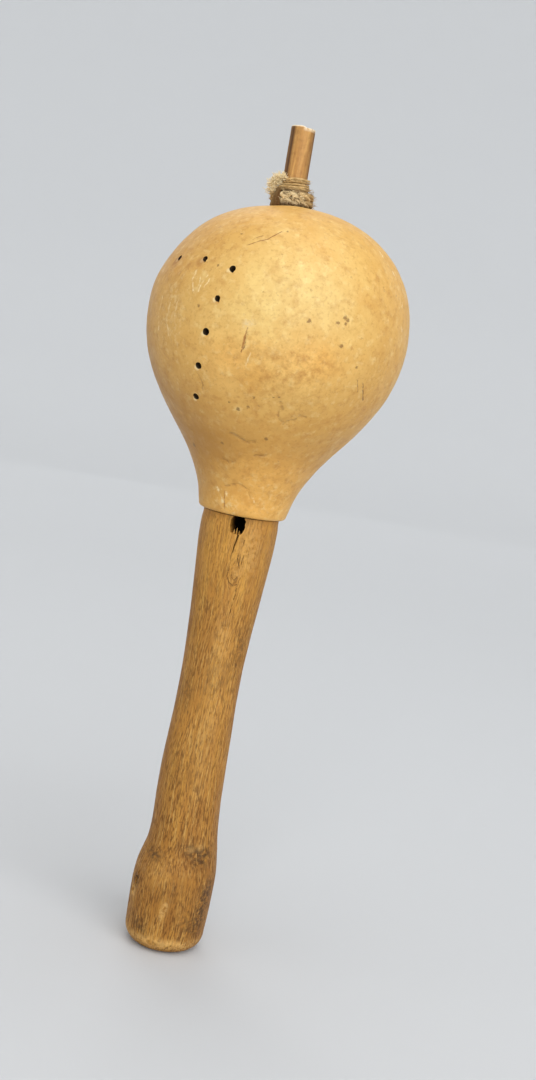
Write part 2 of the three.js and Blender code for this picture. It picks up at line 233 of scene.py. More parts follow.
# The dents are pressed into the skin too, which is even near the rim
DENT_DEPTH, DENT_HALF_WIDTH, DENT_RISE = 0.2, 0.8, 9
EVEN_RIM, EVEN_RIM_FADE = 1, 6
GOURD_PALE_SCRATCHES = [
    (0.4, [(-40.6, 213.2), (-40.3, 210.2), (-37.9, 206.8)]), (0.3, [(-36.4, 211.5), (-35.8, 209)]),
    (0.3, [(-51, 203.6), (-51.8, 197.7), (-49.8, 193.5)]), (0.26, [(-46, 204), (-46.5, 199)]),
    (0.26, [(-58, 206), (-59.5, 199), (-58.5, 194.5)]),
    (0.3, [(-33.2, 212.4), (-34.8, 209.6), (-35.2, 207.4)]), (0.3, [(-31.6, 211.4), (-33, 208.6)]),
    (0.24, [(-7.4, 192.8), (-8.8, 189.2)]), (0.5, [(-31.6, 151), (-30.6, 149.8)]),
    (0.5, [(-21.4, 150.2), (-20.2, 149)]), (0.6, [(-25.9, 147.9), (-24.5, 146.9)]),
    (0.4, [(11.2, 150), (12.6, 148.8)]),
]
# Shiny nicks on the right limb, painted pale as the glints of light on them
GOURD_GLINTING_NICKS = [
    (0.62, [(55.2, 233.3), (56.4, 232.4)]), (0.36, [(58.6, 231.6), (58.9, 231.2)]),
    (0.58, [(59.4, 229.4), (60.1, 228.2)]), (0.48, [(64, 224.2), (64.9, 222.6)]),
    (0.4, [(67, 216.2), (66.2, 214.6)]), (0.42, [(66.2, 208.9), (66.9, 207.8)]),
]
# Round marks: angle, height and radius
GOURD_SPECKS = [
    (-4.2, 228.8, 0.5), (28.6, 207.6, 0.85), (30.1, 207.2, 0.75), (29.4, 206, 0.6), (25.7, 205.8, 0.65),
    (13.4, 204.7, 0.75), (29.1, 199.6, 0.8), (-10.8, 176.3, 0.75), (7.6, 169.1, 0.75), (-55.4, 162.4, 0.9),
    (-22.8, 165.2, 0.6), (-3.3, 180.4, 0.5), (5.6, 181.6, 0.42), (8.2, 182, 0.5), (-15.7, 177.8, 0.5),
    (-5.6, 177.5, 0.6), (39.5, 194.5, 0.65), (-30.2, 215.6, 0.45), (-33.5, 203.2, 0.6), (-27.5, 226, 0.4),
    (125, 200, 0.8), (128, 199, 0.6), (-150, 190, 0.7), (-95, 215, 0.6), (168, 214, 0.7), (80, 200, 0.6),
]
# Soft spots: angle, height, radius across, radius up and strength
GOURD_LAYERS = {
    "shade": [
        (-64, 168, 17, 15, 1), (-80, 186, 12, 14, 0.6), (-30, 163, 13, 8, 0.4), (5, 168, 18, 7, 0.2),
        (50, 168, 14, 9, 0.35), (-62, 149, 10, 7, 0.4),
    ],
    "scuff": [
        (-9.8, 201, 1.3, 0.8, 0.8), (-11.2, 200, 0.8, 0.9, 0.6),
    ],
    # Painted light: paler patches on the upper half, most on the upper front where the light falls, with
    # matching patches behind
    "lit_upper": [
        (8, 212, 26, 22, 0.9), (-12, 196, 16, 14, 0.4), (12, 188, 18, 11, 0.35), (170, 215, 24, 18, 0.6),
        (100, 210, 12, 18, 0.4),
    ],
    "wear": [
        (-7.8, 193.6, 5, 5, 0.4), (2, 192, 7, 5, 0.5), (12, 194, 7, 6, 0.55), (20, 191.5, 6, 5, 0.85),
        (26, 197, 5, 5, 0.4), (8, 186, 9, 5, 0.4), (-4, 184, 8, 5, 0.35), (20, 183, 8, 5, 0.35),
        (-57, 210, 7, 8, 0.5), (-44, 214, 3, 2, 0.7), (-59, 214, 3, 2, 0.7), (48, 214, 5, 9, 0.45),
        (60, 186, 8, 9, 0.35), (-5, 175, 8, 4, 0.45), (120, 205, 14, 10, 0.5), (165, 188, 12, 10, 0.5),
        (-130, 198, 14, 12, 0.45), (-160, 222, 12, 6, 0.4), (150, 165, 9, 7, 0.4), (-100, 175, 8, 8, 0.4),
        (95, 225, 8, 5, 0.35),
    ],
    # Browner patches: the neck is browner all round, and the patches on the left of the belly are painted
    # shade
    "tan": [
        (-75, 205, 18, 30, 0.35), (-52, 222, 12, 10, 0.5), (-45, 178, 12, 12, 0.3), (70, 175, 16, 16, 0.35),
        (60, 205, 9, 22, 0.3), (0, 162, 22, 7, 0.15), (-90, 160, 22, 9, 0.6), (90, 160, 22, 9, 0.5),
        (180, 160, 22, 10, 0.7), (180, 200, 34, 34, 0.25),
    ],
    # Painted light: brighter orange patches on the front of the belly and on the neck
    "lit_warm": [
        (-17, 190, 10, 10, 0.55), (16, 193, 13, 9, 0.55), (15, 158, 17, 9, 0.65), (6, 147, 16, 4, 0.5),
    ],
    "orange": [
        (-4.1, 149.7, 3.5, 2.2, 0.9), (6, 149, 3.5, 2.4, 0.9), (15, 144.5, 6, 1.5, 0.6),
        (-12, 151.5, 4, 1.5, 0.4), (0, 172, 20, 10, 0.4), (-54, 213, 2.2, 1.6, 0.9), (-40, 214, 2, 2.2, 0.6),
    ],
    "pale": [
        (-26, 148.4, 3.2, 2.4, 0.55), (-13, 145.3, 2.4, 1.6, 1), (26, 146.5, 3, 2, 0.4),
        (-48, 200, 5, 8, 0.45), (18, 151, 5, 4, 0.3), (-11, 202.2, 1.3, 1.3, 0.8), (62, 222, 3, 12, 0.3),
    ],
}

# Marks on the handle, in the same way
HANDLE_CHECKS = [
    (0.2, [(16, 121.2), (14.7, 117.4), (12.4, 112.4)]), (0.15, [(-1.9, 131.9), (-2.4, 129.5)]),
    (0.17, [(12.6, 136.5), (11, 131), (11.4, 128)]), (0.15, [(8.3, 134), (7.6, 129.5)]),
    (0.15, [(16, 133), (15, 129)]), (0.15, [(7.5, 117), (5.5, 110.5)]), (0.16, [(-5, 112), (-5.6, 107)]),
    (0.18, [(-7.3, 44.1), (0.5, 44), (6.6, 43.4), (9.4, 42.5)]), (0.16, [(150, 120), (152, 104)]),
    (0.16, [(-120, 60), (-119, 48)]),
]
HANDLE_EYE = [
    (0.24, [(-1.5, 127.4), (-3, 124.6), (1.5, 122.6), (8.5, 121.8), (15, 122.4), (18, 124.6)]),
    (0.2, [(16.5, 126.8), (11, 128.8), (8, 130.6)]),
    (0.2, [(3, 126), (4.5, 124.2), (9.5, 123.6), (13, 124.8)]),
]
HANDLE_LAYERS = {
    "grime_and_contact_shade": [
        (-45, 32, 3, 1.6, 1), (-36, 31, 2.6, 1.8, 0.8), (22, 35.5, 4, 1.6, 0.8), (39, 34.3, 4, 2, 1),
        (34, 31.5, 3, 1.8, 1), (12, 37, 3, 2, 0.4), (-38, 8, 3, 3.4, 0.9), (57, 16, 3, 7, 1.1),
        (60, 22, 3, 4, 1), (45, 10, 5, 4, 0.5), (28, 12, 4, 5, 0.35), (0, 20, 7, 4, 0.35),
        (50, 101, 2.5, 7, 0.7), (-20, 60, 5, 5, 0.3), (-61, 21, 1.5, 2.2, 2), (12, 92, 4, 6, 0.35),
        (-40, 86, 3, 5, 0.5), (8, 70, 3, 6, 0.3), (130, 30, 6, 4, 0.8), (-140, 34, 6, 3, 0.8),
        (170, 12, 8, 4, 0.5), (-100, 20, 4, 5, 0.5), (180, 80, 5, 14, 0.4),
    ],
    "shade": [
        (-80, 68, 8, 48, 0.6), (-72, 114, 6, 20, 0.6), (80, 75, 7, 90, 0.55), (180, 75, 16, 90, 0.5),
        (0, 22, 14, 20, 0.7), (0, 50, 12, 16, 0.35), (-90, 20, 12, 18, 0.8), (90, 20, 12, 18, 0.8),
        (180, 20, 14, 20, 0.6),
    ],
    "pale": [
        (-3, 17, 0.9, 2.3, 1), (-6.2, 14, 0.9, 2.3, 1), (-10, 4, 9, 1.6, 0.9), (30, 4, 7, 1.4, 0.7),
        (-100, 4, 10, 1.4, 0.7), (150, 4, 12, 1.4, 0.7), (24, 133, 4, 9, 0.6), (-66, 17.4, 1.3, 1.6, 3),
        (15, 75, 3, 20, 0.3), (8, 104, 3, 12, 0.35), (8, 125.8, 0.7, 0.7, 0.8), (15, 124.8, 0.6, 0.6, 0.5),
        (34, 36.6, 1, 0.9, 0.9), (18, 35.8, 1.2, 0.8, 0.7), (-20, 27, 4, 5, 0.3),
    ],
}
# The box round the peg hole in which its wall is coloured, and the distances from the axis at which the
# colours start, going inwards, each with the distance over which it grows: the brown stain, then painted
# shade
PEG_WALL_MIDDLE, PEG_WALL_REACH = (0.4, -12, PEG_HOLE_HEIGHT), (4, 7.5, 3.9)
STAIN_FROM, STAIN_OVER, PEG_SHADE_FROM, PEG_SHADE_OVER = 12.1, 0.5, 10.8, 4
# A small knot that the grain runs round, and the swells in which the grain wanders
KNOT, KNOT_REACH, KNOT_PUSH = (8.2, 125.5), (2.6, 3.5, 4.6), 2.4
GRAIN_SWAY, GRAIN_SWELLS = 0.8, (20, 20, 38)
# Nicks: angle and height, then how far each reaches across, in and up
HANDLE_NICKS = [((-61, 20.9), (1.1, 1.2, 2)), ((-66, 17.6), (1, 0.8, 1.8)), ((-59, 24), (0.5, 0.5, 0.9))]
# How coarse the flecks are, at heights above the butt
HANDLE_COARSE = [(0, 1), (40, 1), (60, 0.75), (112, 0.65), (126, 0.35), (142, 0.3)]
# Splinters of the peg hole: place across, height, length and width
SPLINTERS = [(-1, 138, 1.7, 0.26), (-0.2, 137.9, 2.3, 0.24), (0.6, 138.1, 1.3, 0.22)]
SPLINTER_FRONT, SPLINTER_ROOT, SPLINTER_TIP = -11.2, 0.4, 0.05
# Foot, bend and tip of the cord's loose end, from where the spindle leaves the crown
FRAY_LINE = [(-6.1, -2.4, 2.2), (-7.7, -2.6, 6.4), (-3.3, -3.2, 8)]


# Meshes
def spun(profile, steps):
    """A line of radius and height, turned once round Z and closed at its poles."""
    bm = bmesh.new()
    verts = [bm.verts.new((radius, 0, height)) for radius, height in profile]
    edges = [bm.edges.new(pair) for pair in zip(verts, verts[1:])]
    bmesh.ops.spin(bm, geom=verts + edges, cent=(0, 0, 0), axis=UPWARDS, angle=math.tau, steps=steps,
                   use_merge=True)
    bmesh.ops.remove_doubles(bm, verts=bm.verts, dist=1e-4)
    bmesh.ops.recalc_face_normals(bm, faces=bm.faces)
    return bm


def rounding(radius, size, count, steps):
    """Radius and height up a rounded lower edge: a count of points at steps of a quarter turn."""
    turns = [math.radians(90 * (i / steps - 1)) for i in range(count)]
    return [(radius - size * (1 - math.cos(turn)), size * (1 + math.sin(turn))) for turn in turns]


def tapered(bm, segments, radii, depth, place):
    """Adds a closed cone or round bar along Z of its place, and gives its points."""
    low, high = radii
    return bmesh.ops.create_cone(bm, cap_ends=True, segments=segments, radius1=low, radius2=high, depth=depth,
                                 matrix=place)["verts"]


def drill_socket(bm, distance, depth):
    """Adds the cutter of a hole for the spindle, its middle at a distance up the spindle."""
    place = facing(LEANING @ (UPWARDS * distance), LEANING.to_3x3() @ UPWARDS)
    tapered(bm, 40, (SOCKET_RADIUS, SOCKET_RADIUS), depth, place)


def jagged(verts, size, reach):
    """Moves points unevenly, by up to a reach in swells of a size."""
    for v in verts:
        v.co += Vector(noise.noise_vector(v.co / size)) * reach


def roughened(bm, swell, verts=None):
    """Moves each point of a mesh, or only those given, along its normal by the swell at its place."""
    bm.normal_update()
    verts = verts or list(bm.verts)
    moves = [swell(v.co) for v in verts]
    for v, move in zip(verts, moves):
        v.co += v.normal * move


def added(name, data):
    """A new object in the scene."""
    thing = bpy.data.objects.new(name, data)
    bpy.context.scene.collection.objects.link(thing)
    return thing


def piece(name, bm):
    """An object in metres from a mesh in millimetres."""
    bmesh.ops.scale(bm, vec=(MM, MM, MM), verts=bm.verts)
    mesh = bpy.data.meshes.new(name)
    bm.to_mesh(mesh)
    bm.free()
    return added(name, mesh)


def made_mesh(thing):
    """Fixes what an object's curve or modifiers make as its own mesh."""
    bpy.context.view_layer.update()
    ready = thing.evaluated_get(bpy.context.evaluated_depsgraph_get())
    return bpy.data.meshes.new_from_object(ready)


def cut(thing, cutter):
    """Takes a cutter's solids out of a piece."""
    tool = piece("cutter", cutter)
    knife = thing.modifiers.new("cut", "BOOLEAN")
    knife.object, knife.operation, knife.solver = tool, "DIFFERENCE", "MANIFOLD"
    mesh = made_mesh(thing)
    mesh.materials.clear()
    thing.modifiers.clear()
    thing.data = mesh
    bpy.data.objects.remove(tool)


def facing(place, way):
    """The turn and place that stand Z along a way, at a point."""
    return Matrix.Translation(place) @ way.to_track_quat("Z", "Y").to_matrix().to_4x4()


def smooth(thing, degrees):
    thing.data.shade_smooth()
    thing.data.set_sharp_from_angle(angle=math.radians(degrees))


def dressed(thing, material):
    thing.data.materials.append(material)
    return thing


def places_of(thing, parts="vertices", field="co"):
    """The places of a piece's points or faces in millimetres, as rows."""
    parts = getattr(thing.data, parts)
    flat = np.empty(len(parts) * 3, np.float32)
    parts.foreach_get(field, flat)
    return flat.reshape(-1, 3) / MM


def paint(thing, name, values, domain="POINT"):
    """Keeps one number for each point or face of a piece, for its material to read."""
    layer = thing.data.attributes.new(name, "FLOAT", domain)
    layer.data.foreach_set("value", np.clip(values, 0, 1).astype(np.float32))


def keep_grain(thing, places):
    """Keeps the places at which a piece's material reads its grain."""
    layer = thing.data.attributes.new("grain", "FLOAT_VECTOR", "POINT")
    layer.data.foreach_set("vector", places.astype(np.float32).ravel())


def spots(places, marks):
    """How much each place lies in soft spots of (angle, height, radius across, radius up, strength)."""
    total = np.zeros(len(places))
    for angle, height, across, up, strength in marks:
        side = np.array((math.cos(math.radians(angle)), math.sin(math.radians(angle)), 0))
        away = places - np.array(on_rattle(angle, height))
        level = away @ side
        deep = np.linalg.norm(away - np.outer(level, side) - np.outer(away[:, 2], UPWARDS), axis=1)
        far = (level / across) ** 2 + (away[:, 2] / up) ** 2 + (deep / (across + 4)) ** 2
        total += strength * np.exp(-far)
    return total


def bell(values, middle, width):
    """A soft hump, which is full at its middle and falls away over a width."""
    return np.exp(-((values - middle) / width) ** 2)


def from_line(place, line):
    """The distance from a point to a line of points."""
    least = math.inf
    for a, b in zip(line, line[1:]):
        along = b - a
        share = unit((place - a).dot(along) / along.length_squared)
        least = min(least, (place - a - along * share).length)
    return least


# Materials
def linear(hex_colour):
    """An sRGB hex colour as the linear colour that a shader takes."""
    parts = [int(hex_colour[i:i + 2], 16) / 255 for i in (1, 3, 5)]
    return [c / 12.92 if c <= 0.04045 else ((c + 0.055) / 1.055) ** 2.4 for c in parts] + [1]


class Finish:
    """A material under way: its shader, its place in millimetres and the patterns that finishes share."""

    def __init__(self, name):
        self.material = bpy.data.materials.new(name)
        self.material.use_nodes = True
        self.tree = self.material.node_tree
        self.shader = self.tree.nodes["Principled BSDF"]
        metres = self.add("TexCoord", {}, take="Object")
        self.place = self.add("VectorMath", {0: metres, "Scale": 1 / MM}, operation="SCALE")

    def wire(self, node, inputs):
        """Gives a node's inputs their values or links."""
        for key, value in inputs.items():
            if isinstance(value, bpy.types.NodeSocket):
                self.tree.links.new(value, node.inputs[key])
            else:
                node.inputs[key].default_value = value

    def add(self, kind, inputs, take=0, **settings):
        """Adds a node with its settings and links, and gives the output that is wanted."""
        node = self.tree.nodes.new("ShaderNode" + kind)
        for name, value in settings.items():
            setattr(node, name, value)
        self.wire(node, inputs)
        return node.outputs[take]

    def patches(self, place, size, low, high, detail=2.0, rough=0.5, within=1.0):
        """Cloudy patches of a size within a share: none at a low level of cloud and full at a high one."""
        inputs = {"Vector": place, "Scale": 1 / size, "Detail": detail, "Roughness": rough}
        inputs = {"Value": self.add("TexNoise", inputs), "From Min": low, "From Max": high, "To Max": within}
        return self.add("MapRange", inputs)

    def layered(self, name, size, low, high, detail=4.0, rough=0.62):
        """A painted layer, broken up by patches of a size."""
        layer = self.add("Attribute", {}, take="Fac", attribute_name=name)
        return self.patches(self.place, size, low, high, detail, rough, layer)

    def stained(self, hex_ground, *stains):
        """A ground colour with stains of (colour, share, strength) laid over it in turn."""
        colour = linear(hex_ground)
        for hex_colour, share, strength in stains:
            amount = self.add("Math", {0: share, 1: strength}, operation="MULTIPLY")
            colour = self.add("Mix", {0: amount, 6: colour, 7: linear(hex_colour)}, take=2, data_type="RGBA")
        return colour

    def raised(self, ground, *marks):
        """A ground level with marks of (share, height) raised, or sunk, on it in turn."""
        for share, height in marks:
            step = self.add("Math", {0: share, 1: height}, operation="MULTIPLY")
            ground = self.add("Math", {0: ground, 1: step}, operation="ADD")
        return ground

    def shaken(self, size, reach):
        """The place, moved by up to a reach in swells of a size, so that marks have ragged edges."""
        wave = self.add("TexNoise", {"Vector": self.place, "Scale": 1 / size, "Detail": 3.0}, take="Color")
        level = self.add("VectorMath", {0: wave, 1: (0.5, 0.5, 0.5)}, operation="SUBTRACT")
        moved = self.add("VectorMath", {0: level, "Scale": 2 * reach}, operation="SCALE")
        return self.add("VectorMath", {0: self.place, 1: moved}, operation="ADD")

    def gathered(self, marks, away, width, core):
        """Marks so far with one more, which is full up to its core and gone at its width."""
        mark = self.add("MapRange", {"Value": away, "From Min": width, "From Max": core})
        return mark if marks is None else self.add("Math", {0: marks, 1: mark}, operation="MAXIMUM")

    def dots(self, place, marks):
        """Round marks of (angle, height, radius)."""
        total = None
        for angle, height, radius in marks:
            inputs = {0: place, 1: tuple(on_rattle(angle, height))}
            away = self.add("VectorMath", inputs, take="Value", operation="DISTANCE")
            total = self.gathered(total, away, radius, radius * 0.5)
        return total

    def strokes(self, place, marks, broken=1.0):
        """Thin marks of a half width along lines of (angle, height), broken up by a share."""
        total = None
        for width, line in marks:
            points = [on_rattle(*mark) for mark in line]
            for a, b in zip(points, points[1:]):
                along = b - a
                start = self.add("VectorMath", {0: place, 1: tuple(a)}, operation="SUBTRACT")
                inputs = {0: start, 1: tuple(along / along.length_squared)}
                reach = self.add("VectorMath", inputs, take="Value", operation="DOT_PRODUCT")
                reach = self.add("Clamp", {"Value": reach})
                near = self.add("VectorMath", {0: tuple(along), "Scale": reach}, operation="SCALE")
                away = self.add("VectorMath", {0: start, 1: near}, take="Value", operation="DISTANCE")
                total = self.gathered(total, away, width, width * 0.3)
        return self.add("Math", {0: total, 1: broken}, operation="MULTIPLY")

    def finished(self, colour, rough, relief, others):
        """Joins the colour, roughness, relief in millimetres and other inputs to the shader."""
        normal = self.add("Bump", {"Height": relief, "Strength": 1.0, "Distance": MM})
        self.wire(self.shader, {"Base Color": colour, "Roughness": rough, "Normal": normal, **others})
        return self.material


def gourd_skin():
    """Dried and scraped bottle gourd: a golden satin skin, browner at the neck, with pores and scratches."""
    f = Finish("dried_gourd_skin")
    ragged = f.shaken(1.4, 0.5)
    mottle = f.patches(f.place, 5, 0.35, 0.65, 4, 0.65)
    pale = f.layered("pale", 1.2, 0.48, 0.62)
    # Pores, drawn about 0.7 mm wide so that they show
    pores = f.patches(f.place, 1.3, 0.68, 0.76, within=f.patches(f.place, 14, 0.42, 0.6))
    broken = f.patches(f.place, 1.2, 0.34, 0.56, 3)
    tables = (GOURD_SCRATCHES, GOURD_DENTS, GOURD_GLINTING_NICKS, GOURD_PALE_SCRATCHES)
    scratches, dents, nicks, light = (f.strokes(ragged, marks, broken) for marks in tables)
    cuts = f.strokes(f.shaken(0.8, 0.2), GOURD_CUTS)
    # A faint round stain on the upper front
    outer, inner = (f.dots(ragged, [(0.5, 213.2, radius)]) for radius in (2.9, 2.2))
    ring = f.add("Math", {0: outer, 1: inner}, operation="SUBTRACT")
    # The holes' lower edges are chipped and pale, and brown round the two at the left
    flesh = [(angle - 1.2, RIM + height - 0.7, 0.95) for angle, height, radius in SOUND_HOLES]
    scorched = [(angle - 2.0, RIM + height - 1.1, 2.0) for angle, height, radius in SOUND_HOLES[1:3]]
    # The holes' walls, painted near black as shade
    hole_shade = f.add("Attribute", {}, take="Fac", attribute_name="hole_shade")
    colour = f.stained(
        "#ddac59",
        ("#cc9744", f.patches(f.place, 24, 0.42, 0.68, 3), 0.55),
        # Painted light on the upper half of the gourd
        ("#e8ca7e", f.layered("lit_upper", 14, 0.25, 0.5), 0.9),
        # Browner neck, and painted shade on the left of the belly
        ("#c38c3e", f.layered("tan", 7, 0.2, 0.6), 0.8),
        # Painted light on the front of the belly and on the neck
        ("#f6ba5e", f.layered("lit_warm", 8, 0.1, 0.4), 1.0),
        # Mottling of the dried skin in swells of 5 mm down to 1 mm
        ("#c48b39", mottle, 0.3),
        ("#ad7029", f.patches(f.place, 3.0, 0.52, 0.76, 4, 0.62), 0.5),
        ("#f4db98", f.patches(f.place, 2.4, 0.54, 0.78, 3, 0.6), 0.45),
        ("#a86c24", f.patches(f.place, 1.0, 0.54, 0.72, 3, 0.6), 0.34),
        ("#a96c27", f.layered("wear", 2.6, 0.42, 0.66, 5, 0.7), 0.55),
        ("#9c6a1f", f.layered("shade", 6, 0.1, 0.45), 0.66),
        ("#d59a45", f.layered("orange", 3, 0.3, 0.6), 0.7),
        ("#f0d69a", pale, 0.5),
        ("#8d5a24", pores, 0.4),
        ("#94652c", dents, 0.38),
        ("#8a5a25", scratches, 0.75),
        ("#96571a", cuts, 0.8),
        ("#d8cbb4", f.layered("scuff", 0.9, 0.36, 0.56), 0.5),
        ("#86602b", f.dots(f.shaken(0.6, 0.6), GOURD_SPECKS), 0.8),
        ("#f6e0a8", light, 0.7),
        # Painted glints on the shiny nicks of the right limb
        ("#fbe5b0", nicks, 0.75),
        ("#b98c47", ring, 0.45),
        ("#f3dca4", f.dots(ragged, flesh), 0.6),
        ("#a86a28", f.dots(ragged, scorched), 0.5),
        # Painted shadow round the lashing's foot
        ("#5d3a12", f.layered("grime_and_contact_shade", 1.2, 0.2, 0.5), 0.75),
        ("#20120a", hole_shade, 0.95),
    )
    gloss = f.add("Math", {0: pale, 1: nicks}, operation="MAXIMUM")
    rough = f.raised(0.42, (mottle, 0.14), (gloss, -0.2), (hole_shade, 0.4))
    fine, broad = f.patches(f.place, 1.1, 0.0, 1.0, 3, 0.55), f.patches(f.place, 6, 0.0, 1.0, 3)
    relief = f.raised(0.0, (fine, 0.06), (broad, 0.4), (scratches, -0.2), (dents, -0.2), (cuts, -0.15),
                      (gloss, 0.16))
    return f.finished(colour, rough, relief, {"IOR": 1.46, "Coat Weight": 0.06, "Coat Roughness": 0.35})


def handle_wood():
    """Old beech-like hardwood, carved and waxed by hand: tan, with short dark flecks along the grain."""
    f = Finish("hand_worn_hardwood")
    grain = f.add("Attribute", {}, take="Vector", attribute_name="grain")
    long, short, stubby = (f.add("VectorMath", {0: grain, 1: (1, 1, squeeze)}, operation="MULTIPLY")
                           for squeeze in (0.035, 0.15, 0.2))
    # Flecks about 0.4 mm by 3 mm, most at the pommel, and finer pores and lines between them
    coarse = f.layered("coarse", 7, 0.2, 0.5, 2)
    flecks = f.patches(short, 0.42, 0.48, 0.6, 2, 0.55, coarse)
    lines = f.patches(long, 0.4, 0.5, 0.66, 3, 0.6)
    eye = f.strokes(f.shaken(0.9, 0.4), HANDLE_EYE, f.patches(f.place, 0.9, 0.3, 0.5, 3))
    checks = f.strokes(f.shaken(1.2, 0.3), HANDLE_CHECKS, f.patches(f.place, 1.6, 0.3, 0.55, 3))
    # The peg hole's wall is brown at its mouth and painted black inside, as shade
    stain, hole_shade = (f.add("Attribute", {}, take="Fac", attribute_name=name) for name in ("stain", "hole_shade"))
    colour = f.stained(
        "#bc8436",
        ("#d09a41", f.patches(long, 2.6, 0.42, 0.64, 4, 0.55), 0.7),
        ("#9b6727", f.patches(short, 8, 0.48, 0.7, 4, 0.6), 0.6),
        ("#e4b969", f.patches(long, 0.55, 0.5, 0.66, 2, 0.6, coarse), 0.65),
        ("#7d4e1c", lines, 0.42),
        ("#55320d", flecks, 0.9),
        ("#5a360f", f.patches(stubby, 0.3, 0.56, 0.7, 1), 0.45),
        ("#835213", f.layered("shade", 9, 0.15, 0.5), 0.5),
        ("#412809", f.layered("grime_and_contact_shade", 1.3, 0.38, 0.58), 0.85),
        ("#deb067", f.layered("pale", 1.3, 0.36, 0.56), 0.65),
        ("#66400f", eye, 0.85),
        ("#43280f", checks, 0.7),
        ("#4a2c10", stain, 0.85),
        ("#0b0603", hole_shade, 1.0),
    )
    worn, tooling = f.patches(f.place, 6, 0.2, 0.8, 3), f.patches(stubby, 5, 0.0, 1.0, 3)
    rough = f.raised(0.46, (worn, 0.16), (flecks, 0.12))
    shine = f.raised(0.34, (hole_shade, -0.34))
    relief = f.raised(0.0, (tooling, 0.4), (flecks, -0.04), (lines, -0.04), (checks, -0.3), (eye, -0.06))
    return f.finished(colour, rough, relief, {"IOR": 1.48, "Specular IOR Level": shine})


def spindle_wood():
    """A peeled straight stick: orange-tan with long streaks, a strip of brown bark left on one side, and its
    two sides darkened with painted shade.
    """
    f = Finish("peeled_stick_wood")
    grain, dashed = (f.add("VectorMath", {0: f.place, 1: (1, 1, squeeze)}, operation="MULTIPLY")
                     for squeeze in (0.06, 0.16))
    streaks = f.patches(grain, 1.2, 0.4, 0.64, 4, 0.6)
    bark_and_shade = f.layered("bark_and_shade", 1.4, 0.05, 0.35)
    colour = f.stained(
        "#b8833f",
        ("#dba85e", streaks, 0.9),
        ("#8a5a28", f.patches(dashed, 0.8, 0.52, 0.72, 3), 0.5),
        ("#8f5f2a", f.patches(f.place, 1.7, 0.46, 0.68, 4, 0.62), 0.4),
        ("#4b2b10", bark_and_shade, 0.9),
        ("#fbe8c4", f.layered("sawn", 0.9, 0.3, 0.5), 0.9),
    )
    rough = f.raised(0.5, (streaks, 0.12), (bark_and_shade, 0.2))
    relief = f.raised(0.0, (f.patches(dashed, 0.9, 0.0, 1.0, 3), 0.1), (bark_and_shade, 0.1))
    return f.finished(colour, rough, relief, {"IOR": 1.48})


def cord_fibre():
    """Hand-twisted plant fibre: dull, matt yarn, pale where it is fluffed, brown where it is dirty and darker
    where painted shade falls.
    """
    f = Finish("twisted_plant_fibre")
    mottle = f.patches(f.place, 0.6, 0.36, 0.64, 4, 0.65)
    fluffed, tint, dirt_and_shade = (f.add("Attribute", {}, take="Fac", attribute_name=name)
                           for name in ("fluffed", "tint", "dirt_and_shade"))
    colour = f.stained("#d0aa6b", ("#f4d69e", mottle, 0.8), ("#fdeabd", fluffed, 0.9), ("#6d4819", tint, 0.8),
                       ("#4c2a08", dirt_and_shade, 0.9))
    rough, relief = f.raised(0.82, (mottle, 0.12)), f.raised(0.0, (mottle, 0.05))
    return f.finished(colour, rough, relief, {"Specular IOR Level": 0.15})


def river_stone():
    """Small worn stones: grey-brown, matt, with fine grains."""
    f = Finish("river_pebble_stone")
    grain = f.patches(f.place, 0.5, 0.58, 0.7, 3, 0.6)
    clouds = f.patches(f.place, 3, 0.4, 0.62, 4, 0.6)
    colour = f.stained("#8d8478", ("#6f665b", clouds, 1.0), ("#b8b0a2", grain, 0.6))
    return f.finished(colour, f.raised(0.62, (grain, 0.14)), f.raised(0.0, (grain, 0.1)), {})


# Pieces
def gourd_mesh():
    """The shell with its lip, before it is drilled, with the small dents of a natural skin."""
    inner = gourd_outline(SHELL_WALL, 26)[:-1]
    outer = [p for p in reversed(gourd_outline(0, 92)) if p.y > 2 * LIP_ROUNDING]
    lip = rounding(RIM_RADIUS, LIP_ROUNDING, 9, 8)
    bm = spun(inner + [(RIM_RADIUS - SHELL_WALL, 0)] + lip + outer, 280)
    # The skin alone is uneven: the chamber's wall keeps to the solid's, so that the pebbles have their room
    rising = OUTER_LINE[::-1]
    reach = np.interp([v.co.z for v in bm.verts], [p.y for p in rising], [p.x for p in rising])
    skin = [v for v, radius in zip(bm.verts, reach) if math.hypot(v.co.x, v.co.y) > radius - SHELL_WALL / 2]
    on_skin = set(skin)
    for v in bm.verts:
        shift = crown_shift(v.co.z)
        if v in on_skin:
            angle = math.degrees(math.atan2(v.co.x, -v.co.y))
            flat = left_flat(angle, v.co.z)
            dip = flat * FLAT_DOWN + crown_dip(v.co.x + shift, v.co.z)
            v.co -= outward(angle) * flat * FLAT_INWARD
            v.co.z -= dip
        v.co.x += shift
        v.co.z += RIM
    dents = [[on_rattle(*mark) for mark in line] for width, line in GOURD_DENTS]

    def skin_swell(place):
        swells = ((0.22, 24), (0.10, 8), (0.04, 2.5))
        swell = sum(height * noise.noise(place / size) for height, size in swells)
        for line in dents:
            if abs(place.z - line[0].z) < DENT_RISE and place.y < 0:
                swell -= DENT_DEPTH * math.exp(-(from_line(place, line) / DENT_HALF_WIDTH) ** 2)
        return swell * unit((place.z - RIM - EVEN_RIM) / EVEN_RIM_FADE)

    roughened(bm, skin_swell, skin)
    for v in bm.verts:
        v.co.z += RIM_LIFT * max(0, 1 - (v.co.z - RIM) / RIM_LIFT_REACH)
    return bm


